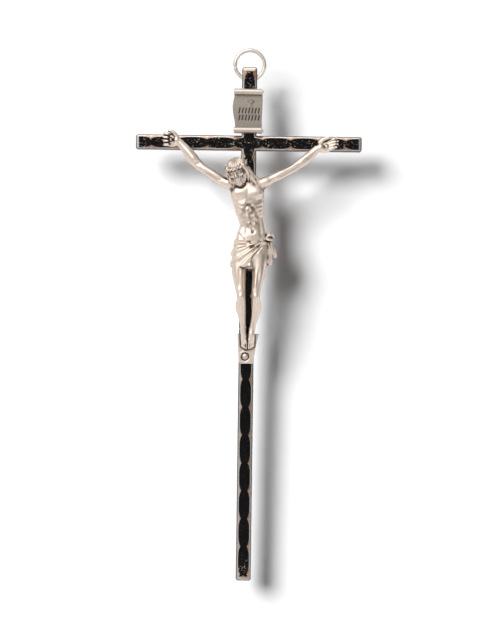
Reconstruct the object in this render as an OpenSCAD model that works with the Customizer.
// Hanging metal crucifix: one hammered cross, a bent wire ring through its head,
// a curled title scroll, and a cast figure with its foot plate, held by one rivet.
// The frame's origin is where a nail bears, at the top of the ring's opening.
// +Z is up, +Y points at the wall, and the figure faces -Y.

/* [Bars] */
// Length of the upright from head to foot
upright_l = 203.2; // [180:0.1:260]
// Length of the crossbeam
beam_l = 89.4; // [74:0.1:120]
// Distance from the head of the upright down to the middle of the crossbeam
head_l = 30.1; // [28:0.1:45]
// Width of both bars
bar_w = 6; // [4.8:0.1:7.4]
// Thickness of both bars from the flat back to the crown
bar_t = 4; // [3.8:0.1:6]
// Plan radius of the corners at the ends of the bars
end_r = 1; // [0.4:0.1:2]
// Plan radius of the four inner corners at the crossing
crotch_r = 0.8; // [0.3:0.1:1.6]

/* [Hammered front] */
// Length of one hammer facet along a bar
facet_l = 11; // [8:0.1:14]
// Depth of a facet under the crown at its middle
facet_d = 0.42; // [0.2:0.01:0.6]
// Depth of the ridge left between two facets
ridge_d = 0.17; // [0.05:0.01:0.2]
// Drop of the domed front from the crown to a side edge
rim_drop = 0.75; // [0.65:0.05:1.3]
// Width of the bevel at the ends of the bars
rim_w = 1.05; // [0.6:0.05:2]

/* [Ring] */
// Radius of the ring's wire line
ring_r = 5.8; // [4.9:0.1:8]
// Diameter of the ring's wire
wire_d = 1.5; // [1:0.05:1.8]
// Width of the split where the wire's ends meet
split_w = 0.15; // [0.05:0.05:0.5]
// Distance from the head of the upright down to the ring's hole
hole_drop = 4.3; // [3.2:0.1:6]
// Free space between wire and hole
ring_clear = 0.08; // [0.05:0.01:0.2]

/* [Scroll] */
// Width of the scroll's panel
scroll_w = 11.3; // [9:0.1:15]
// Height of the scroll over both rolls
scroll_h = 18; // [14:0.1:19]
// Distance from the middle of the crossbeam up to the scroll's lower edge
scroll_z = 3.5; // [3.1:0.1:6]
// Radius of the two rolls
roll_r = 1.55; // [1.1:0.05:2]
// Thickness of the scroll's sheet
sheet_t = 0.9; // [0.6:0.05:1.2]
// Depth of the strokes that stand for writing
stroke_d = 0.25; // [0.1:0.05:0.4]

/* [Figure] */
// Height of the figure from its hair to its toes
figure_h = 75; // [62:0.5:90]
// Length of the foot plate
plate_l = 11.9; // [10:0.1:15]
// Thickness of the foot plate at its lower end
plate_t = 1.5; // [1.2:0.1:2.5]
// Flare of the foot plate's upper edge beyond the bar, on the viewer's left
flare_left = 0.45; // [0:0.05:2]
// Flare of the foot plate's upper edge beyond the bar, on the viewer's right
flare_right = 2.1; // [0:0.05:3]

/* [Rivet] */
// Radius of the rivet's shank
shank_r = 0.8; // [0.5:0.05:1]
// Height of the rivet's middle over the plate's lower edge
rivet_rise = 2.9; // [2.2:0.1:4]
// Radius of the rivet's head
rivet_head_r = 1.3; // [0.9:0.05:1.5]
// Free space round the shank and the head
rivet_clear = 0.05; // [0.03:0.01:0.1]

/* [Hidden] */
$fn = 48;

touch = 0.02;                          // gap kept between pieces that are seated on each other
past = 1;                              // how far a cutter passes the face that it opens
wire_r = wire_d / 2;
ring_z = -(ring_r - wire_r);           // centre of the ring, under the nail
wire_high = ring_z - sqrt(pow(ring_r - wire_r, 2) - pow(bar_w / 2, 2));  // at the hole's mouths
wire_low = ring_z - ring_r - wire_r;                                      // midway between them
hole_z = (wire_high + wire_low) / 2;
hole_r = (wire_high - wire_low) / 2 + ring_clear;
head_z = hole_z + hole_drop;           // top of the upright
cross_z = head_z - head_l;             // middle of the crossbeam
foot_l = upright_l - head_l;           // upright below the crossbeam
back_y = (bar_t - facet_d) / 2;        // flat back: the ring's hole lies midway in the metal
crown_y = back_y - bar_t;              // highest line of the domed front
seat_y = crown_y + ridge_d - touch;    // plane on the ridges that the fittings sit on
dome_r = (pow(bar_w / 2, 2) + pow(rim_drop, 2)) / (2 * rim_drop);
figure_k = figure_h / 75;              // the figure's tables are drawn 75 mm high

// ---------- the hammered bars ----------

// Depth of the hammered front at s, measured from the crossing: flat facets, quick ridges.
function facet(s) =
    let (u = 2 * (s / facet_l - round(s / facet_l)))
    facet_d - (facet_d - ridge_d) * pow(abs(u), 3);

// The same, falling off in a bevel towards an end that lies at distance end.
function front_depth(s, end) =
    max(facet(s), rim_drop - (end - abs(s)) * (rim_drop - facet_d) / rim_w);

// Stations from the low end to the high end, a tenth of a facet apart, with both bevels' edges.
function stations(low, high) = concat(
    [low, low + rim_w],
    [for (i = [ceil((low + rim_w) / facet_l * 10) + 1 : floor((high - rim_w) / facet_l * 10) - 1])
        i * facet_l / 10],
    [high - rim_w, high]);

// D-shaped section, crown towards -Y.
module bar_section() {
    intersection() {
        translate([0, crown_y + dome_r])
            circle(r = dome_r);
        translate([-bar_w / 2, crown_y])
            square([bar_w, bar_t]);
    }
}

module rounded_plan(low, high) {
    for (x = [-1, 1], z = [low + end_r, high - end_r])
        translate([x * (bar_w / 2 - end_r), z])
            circle(r = end_r);
    translate([-bar_w / 2 + end_r, low])
        square([bar_w - 2 * end_r, high - low]);
    translate([-bar_w / 2, low + end_r])
        square([bar_w, high - low - 2 * end_r]);
}

// A bar along Z from low to high, with its crossing at zero.
module bar(low, high) {
    front = [for (s = stations(low, high))
        [crown_y + front_depth(s, s < 0 ? -low : high), s]];
    intersection() {
        translate([0, 0, low])
            linear_extrude(high - low)
                bar_section();
        rotate([90, 0, 90])
            translate([0, 0, -bar_w])
                linear_extrude(2 * bar_w)
                    polygon(concat(front, [[back_y, high], [back_y, low]]));
        rotate([90, 0, 0])
            translate([0, 0, -back_y - past])
                linear_extrude(bar_t + 2 * past)
                    rounded_plan(low, high);
    }
}

// Concave fillet in one inner corner, as high as the side edges of the bars.
module crotch() {
    sink = 0.2;                        // how far the fillet reaches into both bars
    rotate([90, 0, 0])
        translate([0, 0, -back_y])
            linear_extrude(bar_t - rim_drop)
                difference() {
                    translate([bar_w / 2 - sink, bar_w / 2 - sink])
                        square(crotch_r + sink);
                    translate([bar_w / 2 + crotch_r, bar_w / 2 + crotch_r])
                        circle(r = crotch_r);
                }
}

module cross() {
    color([0.80, 0.79, 0.77])
        difference() {
            translate([0, 0, cross_z])
                union() {
                    bar(-foot_l, head_l);
                    rotate([0, 90, 0])
                        bar(-beam_l / 2, beam_l / 2);
                    for (a = [0, 90, 180, 270])
                        rotate([0, a, 0])
                            crotch();
                }
            translate([-bar_w, 0, hole_z])
                rotate([0, 90, 0])
                    cylinder(r = hole_r, h = 2 * bar_w);
            translate([rivet_x, back_y + past, rivet_z])
                rotate([90, 0, 0])
                    cylinder(r = shank_r + rivet_clear, h = bar_t + 2 * past);
        }
}

// ---------- the wire ring ----------

module hanging_ring() {
    split_a = 2 * asin(split_w / 2 / ring_r);
    color([0.83, 0.80, 0.74])
        translate([0, 0, ring_z])
            rotate([90, 0, 0])
                rotate([0, 0, 180 + split_a / 2])
                    rotate_extrude(angle = 360 - split_a)
                        translate([ring_r, 0])
                            circle(r = wire_r);
}

// ---------- the title scroll ----------

scroll_low = cross_z + scroll_z;
scroll_top = scroll_low + scroll_h;
core_r = roll_r * 0.36;                // hollow at the end of a roll
core_deep = 1.2;                       // depth of that hollow
inner_r = roll_r * 0.78;               // inner turn that shows at the right end
inner_l = scroll_w * 0.24;             // length of that inner turn
roll_over = 0.4;                       // how far a roll passes the panel's left edge

// Left edge of the panel: it swells gently between the rolls.
function swell(t) = 0.55 * pow(sin(180 * t), 2) - 0.2 * sin(360 * t);

module scroll_panel() {
    low = scroll_low + roll_r;
    high = scroll_top - roll_r;
    steps = 16;
    rotate([90, 0, 0])
        translate([0, 0, -seat_y])
            linear_extrude(sheet_t)
                polygon(concat(
                    [for (i = [0 : steps])
                        [-scroll_w / 2 - swell(i / steps), low + (high - low) * i / steps]],
                    [[scroll_w / 2, high], [scroll_w / 2, low]]));
}

// One roll along X: the outer turn, the inner turn that peeps out, and the hollow ends.
module scroll_roll(z) {
    left = -scroll_w / 2 - roll_over;
    translate([0, seat_y - roll_r, z])
        rotate([0, 90, 0])
            difference() {
                union() {
                    translate([0, 0, left])
                        cylinder(r = roll_r, h = scroll_w - inner_l + roll_over);
                    translate([0, 0, left + roll_r])
                        cylinder(r = inner_r, h = scroll_w + roll_over - roll_r);
                }
                translate([0, 0, left - past])
                    cylinder(r = core_r, h = core_deep + past);
                translate([0, 0, scroll_w / 2 - core_deep])
                    cylinder(r = core_r, h = core_deep + past);
            }
}

// Two rows of short parallel cuts in place of the writing.
module strokes() {
    rows = 2;
    count = 7;
    pitch = scroll_w * 0.78 / count;
    cut_h = 2.1;
    cut_w = 0.45;
    row_gap = 0.7;
    lean = 10;
    mid = (scroll_low + scroll_top) / 2 - 1.1;
    for (r = [0 : rows - 1], i = [0 : count - 1])
        translate([(i - (count - 1) / 2) * pitch, seat_y - sheet_t - past + stroke_d,
                   mid + (r - (rows - 1) / 2) * (cut_h + row_gap)])
            rotate([0, lean, 0])
                translate([-cut_w / 2, 0, -cut_h / 2])
                    cube([cut_w, past, cut_h]);
}

module title_scroll() {
    color([0.72, 0.70, 0.66])
        difference() {
            union() {
                scroll_panel();
                scroll_roll(scroll_low + roll_r);
                scroll_roll(scroll_top - roll_r);
            }
            strokes();
        }
}

// ---------- the figure ----------
// The figure is drawn 75 mm high about the crossing, then scaled. A limb is a smooth run of oval
// sections: [x, forward of the seat, z, half width, front depth, back depth].

plate_z = -75.4;                       // upper edge of the foot plate in that drawing
rivet_x = -0.4;
rivet_z = cross_z + plate_z * figure_k - plate_l + rivet_rise;

torso = [
    [-0.8, 5.1, -14.0, 3.4, 2.0, 2.0],
    [-0.4, 4.9, -16.8, 6.5, 2.9, 2.6],
    [-0.2, 5.0, -20.0, 6.7, 3.8, 2.9],
    [0.2, 5.1, -24.5, 6.0, 3.6, 3.0],
    [1.2, 4.9, -29.5, 5.2, 2.8, 2.8],
    [2.0, 4.6, -33.5, 5.0, 2.4, 2.6],
    [1.6, 4.4, -39.0, 6.3, 3.1, 3.1],
    [1.0, 4.3, -45.5, 6.8, 3.2, 3.4],
    [0.7, 4.5, -49.0, 6.2, 2.9, 3.0]];

// Hip, thigh, above the knee, knee, calf, ankle, heel.
left_leg = [
    [-2.8, 4.5, -45.0, 3.1, 3.0, 3.1],
    [-3.35, 5.1, -51.0, 2.7, 2.8, 2.7],
    [-2.95, 5.9, -56.5, 2.05, 2.2, 2.2],
    [-2.3, 6.4, -60.8, 1.95, 2.0, 1.8],
    [-2.2, 5.4, -65.5, 1.85, 1.6, 2.1],
    [-1.6, 4.4, -70.0, 1.35, 1.25, 1.6],
    [-1.0, 3.9, -74.5, 1.2, 1.3, 1.4]];

right_leg = [
    [4.4, 4.5, -45.0, 3.2, 3.0, 3.1],
    [4.4, 5.1, -51.0, 2.65, 2.8, 2.7],
    [3.95, 6.0, -56.5, 2.1, 2.2, 2.2],
    [3.4, 6.6, -60.8, 2.0, 2.0, 1.8],
    [3.4, 5.6, -65.5, 2.0, 1.6, 2.1],
    [2.7, 4.6, -70.0, 1.45, 1.25, 1.6],
    [2.2, 4.0, -74.5, 1.25, 1.3, 1.4]];

// Shoulder, upper arm, elbow, forearm, wrist, palm, knuckles.
left_arm = [
    [-4.6, 4.8, -16.6, 1.9, 2.1, 2.1],
    [-9.8, 4.6, -14.8, 1.95, 2.0, 2.0],
    [-15.0, 4.0, -11.5, 1.8, 1.7, 1.7],
    [-20.0, 3.3, -8.1, 1.8, 1.6, 1.6],
    [-23.6, 2.5, -3.9, 1.5, 1.3, 1.3],
    [-26.6, 1.6, -0.8, 1.2, 0.9, 0.9],
    [-29.4, 1.1, 0.4, 2.1, 0.9, 0.9],
    [-32.2, 1.0, 1.0, 1.9, 0.8, 0.8]];

right_arm = [
    [4.4, 4.8, -16.4, 1.9, 2.1, 2.1],
    [9.0, 4.6, -14.4, 1.75, 1.9, 1.9],
    [14.2, 4.1, -11.7, 1.65, 1.7, 1.7],
    [19.2, 3.5, -8.8, 1.85, 1.6, 1.6],
    [23.4, 2.6, -5.3, 1.65, 1.35, 1.35],
    [26.8, 1.8, -2.4, 1.3, 1.0, 1.0],
    [29.6, 1.1, -1.1, 2.2, 0.9, 0.9],
    [32.6, 1.0, -0.2, 1.8, 0.8, 0.8]];

hair = [
    [-4.5, 7.4, -6.4, 2.6, 2.6, 2.2],
    [-4.2, 7.2, -9.0, 4.7, 3.2, 3.5],
    [-3.4, 6.7, -12.8, 4.8, 1.9, 3.3],
    [-2.5, 6.3, -16.6, 3.8, 1.3, 1.9]];

hair_lock = [
    [-0.4, 9.0, -10.0, 0.9, 0.8, 0.8],
    [1.0, 8.9, -14.0, 0.9, 0.8, 0.8],
    [2.4, 8.2, -17.2, 0.4, 0.4, 0.4]];

// Forehead, temples, cheeks, jaw with the beard, tip of the beard.
face = [
    [-5.0, 9.8, -7.4, 2.4, 1.9, 1.9],
    [-4.6, 9.6, -10.2, 3.4, 2.6, 2.6],
    [-3.8, 9.3, -13.2, 3.0, 2.7, 2.3],
    [-3.0, 9.0, -15.8, 2.1, 2.4, 1.7],
    [-2.3, 8.6, -17.5, 0.9, 1.4, 0.9]];

cloth = [
    [1.65, 4.35, -38.2, 6.15, 3.1, 3.1],
    [1.4, 4.3, -41.0, 6.9, 3.5, 3.5],
    [0.9, 4.4, -46.6, 7.3, 3.6, 3.5],
    [0.6, 4.5, -49.4, 6.9, 3.2, 3.3]];

// The fold that falls in the middle, and the end knotted at the hip.
middle_fold = [
    [6.8, 6.2, -40.6, 0.5, 0.5, 0.5],
    [3.2, 7.8, -44.4, 0.7, 0.6, 0.6],
    [1.0, 7.7, -49.6, 0.9, 0.5, 0.5]];

knotted_end = [
    [8.2, 4.9, -37.0, 0.8, 0.8, 0.8],
    [9.0, 4.8, -40.6, 0.9, 0.8, 0.8],
    [9.9, 4.5, -47.6, 1.3, 0.7, 0.7]];

// Round hill of height 1 about [a0, z0], in degrees round the body and millimetres up it.
function hill(a, z, a0, z0, a_wide, z_wide) =
    exp(-pow((a - a0) / a_wide, 2) - pow((z - z0) / z_wide, 2));

// What stands out from the oval torso: both breasts, the arch under the ribs, the long belly.
muscles = function(a, z)
    0.9 * hill(a, z, 58, -20.5, 26, 2.6)
    + 0.9 * hill(a, z, 122, -20.5, 26, 2.6)
    - 0.7 * hill(a, z, 90, -25.5, 30, 2.2)
    + 0.7 * hill(a, z, 90, -31.5, 26, 4.5);

// The cloth's folds fan out from the knot at the hip, and its upper hem is rolled.
drapery = function(a, z)
    let (across = a / 180, down = (-39 - z) / (0.9 + 1.9 * across))
    a > 180 ? 0
        : 0.4 * min(1, 1.6 * across) * cos(360 * down) * sin(a)
            + 0.35 * hill(a, z, a, -38.6, 1, 0.8);

// Instep, arch and toes of a foot that slopes down the plate, from x to x plus turn.
function foot(x, turn) = [
    [x, 4.0, -73.8, 1.15, 1.2, 1.4],
    [x + turn * 0.2, 3.9, -75.8, 1.2, 1.1, 1.7],
    [x + turn * 0.8, 2.9, -78.6, 1.35, 0.8, 1.0],
    [x + turn, 2.4, -80.2, 1.2, 0.45, 0.6]];

// Catmull-Rom value between p1 and p2.
function between(p0, p1, p2, p3, t) =
    0.5 * (2 * p1 + (p2 - p0) * t + (2 * p0 - 5 * p1 + 4 * p2 - p3) * t * t
        + (3 * p1 - p0 - 3 * p2 + p3) * t * t * t);

// The sections with k - 1 more between each pair.
function finer(rows, k) = let (last = len(rows) - 1) [
    for (i = [0 : last - 1], j = [0 : k - 1])
        between(rows[max(i - 1, 0)], rows[i], rows[i + 1], rows[min(i + 2, last)], j / k),
    rows[last]];

function unit(v) = v / norm(v);
function spot(row) = [row[0], -row[1], row[2]];

// A closed solid whose oval sections follow the rows, with a short nose at each end. Relief is
// a function of the angle round it and the height, and stands out from the ovals.
module limb(rows, sides = 12, k = 2, relief = function(a, z) 0) {
    r = finer(rows, k);
    last = len(r) - 1;
    nose = 0.6;
    body = [for (i = [0 : last])
        let (t = unit(spot(r[min(i + 1, last)]) - spot(r[max(i - 1, 0)])),
             d = unit([0, -1, 0] + t * t[1]))
        [spot(r[i]), t, d, cross(t, d), r[i]]];
    a = body[0];
    z = body[last];
    a_out = min(a[4][3], a[4][4]) * (1 - nose);
    z_out = min(z[4][3], z[4][4]) * (1 - nose);
    frames = concat(
        [[a[0] - a[1] * a_out, a[1], a[2], a[3], a[4] * nose]],
        body,
        [[z[0] + z[1] * z_out, z[1], z[2], z[3], z[4] * nose]]);
    n = len(frames);
    points = [for (f = frames, j = [0 : sides - 1])
        let (c = cos(360 * j / sides), q = sin(360 * j / sides),
             out = relief(360 * j / sides, f[0][2]))
        f[0] + f[3] * (f[4][3] + out) * c + f[2] * ((q > 0 ? f[4][4] : f[4][5]) + out) * q];
    walls = [for (i = [0 : n - 2], j = [0 : sides - 1])
        let (m = (j + 1) % sides)
        [i * sides + j, i * sides + m, (i + 1) * sides + m, (i + 1) * sides + j]];
    ends = [
        [for (j = [0 : sides - 1]) sides - 1 - j],
        [for (j = [0 : sides - 1]) (n - 1) * sides + j]];
    polyhedron(points = points, faces = concat(walls, ends), convexity = 6);
}

module bead(p, r) {
    translate(spot(p))
        sphere(r = r, $fn = 6);
}

module stick(p, q, r, r_end) {
    hull() {
        bead(p, r);
        bead(q, r_end);
    }
}

// Fingers curl forwards from the palm, and the thumb crosses above it.
module fingers(side, reach, z) {
    spread = [1.6, 0.6, -0.4, -1.3];
    length = [1.0, 1.15, 1.05, 0.8];
    for (i = [0 : 3])
        stick([side * 31.4, 1.1, z + spread[i]],
              [side * (31.6 + reach * length[i]), 2.2, z + spread[i] * 1.25 + 0.4],
              0.6, 0.5);
    stick([side * 28.6, 1.3, z + 0.9], [side * 31.2, 2.2, z + 2.7], 0.6, 0.45);
}

module nail(x, z) {
    translate([x, -1.7, z])
        sphere(r = 0.75, $fn = 10);
}

module toes(x, side) {
    for (i = [0 : 3])
        bead([x + side * (0.95 - 0.55 * i), 2.2, -80.7 + 0.16 * i], 0.4 - 0.03 * i);
}

module head() {
    limb(hair, 14);
    limb(face, 14);
    limb(hair_lock, 6, 1);
    stick([-5.6, 12.0, -10.2], [-5.2, 12.7, -12.3], 0.35, 0.5);     // nose
    stick([-7.0, 11.4, -9.9], [-3.4, 11.9, -9.7], 0.4, 0.4);        // brow
    stick([-8.6, 9.0, -9.0], [-10.4, 9.2, -9.7], 0.35, 0.15);       // thorn
    translate([-4.7, -8.7, -8.6])
        rotate([20, 8, 0])
            rotate_extrude($fn = 14)
                translate([3.9, 0])
                    circle(r = 0.6, $fn = 6);
}

module loincloth() {
    limb(cloth, 30, 4, drapery);
    limb(middle_fold, 6, 2);
    limb(knotted_end, 8, 1);
}

// The tapering plate under the feet: as wide as the bar below, flared above.
module foot_plate() {
    top = plate_z * figure_k;
    low = top - plate_l;
    rise = 0.9;                        // how much thicker the upper edge is
    slab = 0.1;
    difference() {
        hull() {
            translate([-bar_w / 2, -plate_t, low])
                cube([bar_w, plate_t, slab]);
            translate([-bar_w / 2 - flare_left, -plate_t - rise, top - slab])
                cube([bar_w + flare_left + flare_right, plate_t + rise, slab]);
        }
        translate([rivet_x, past, rivet_z - cross_z])
            rotate([90, 0, 0])
                cylinder(r = shank_r + rivet_clear, h = plate_t + rise + 2 * past, $fn = 32);
        translate([rivet_x, -plate_t + recess_d, rivet_z - cross_z])
            rotate([90, 0, 0])
                cylinder(r = rivet_head_r + recess_rim, h = recess_d + rise + past, $fn = 32);
    }
}

module figure() {
    color([0.82, 0.79, 0.73])
        translate([0, seat_y, cross_z])
            union() {
                scale(figure_k) {
                    limb(torso, 20, 3, muscles);
                    limb(left_arm);
                    limb(right_arm);
                    limb(left_leg);
                    limb(right_leg);
                    limb(foot(-1.0, 0.7), 8, 1);
                    limb(foot(2.2, 0), 8, 1);
                    toes(-0.4, -1);
                    toes(2.3, 1);
                    fingers(-1, 2.1, 0.7);
                    fingers(1, 2.5, -0.3);
                    nail(-30.6, 0.6);
                    nail(31.0, -0.9);
                    head();
                    loincloth();
                }
                foot_plate();
            }
}

// ---------- the rivet ----------

recess_d = 0.55;                       // depth of the recess for the rivet's head
recess_rim = 0.3;                      // width of the recess round the head

// A domed head in its recess, and a shank through plate and bar, flush with the back.
module foot_rivet() {
    under = seat_y - plate_t + recess_d - touch;
    dome_h = 0.65;
    lap = 0.05;                        // the shank runs this far into the head
    ball_r = (pow(rivet_head_r, 2) + pow(dome_h, 2)) / (2 * dome_h);
    color([0.75, 0.72, 0.67])
        translate([rivet_x, 0, rivet_z])
            rotate([90, 0, 0])
                union() {
                    translate([0, 0, -back_y])
                        cylinder(r = shank_r, h = back_y - under + lap);
                    translate([0, 0, -under])
                        intersection() {
                            translate([0, 0, dome_h - ball_r])
                                sphere(r = ball_r);
                            cylinder(r = rivet_head_r, h = dome_h);
                        }
                }
}

cross();
hanging_ring();
title_scroll();
figure();
foot_rivet();
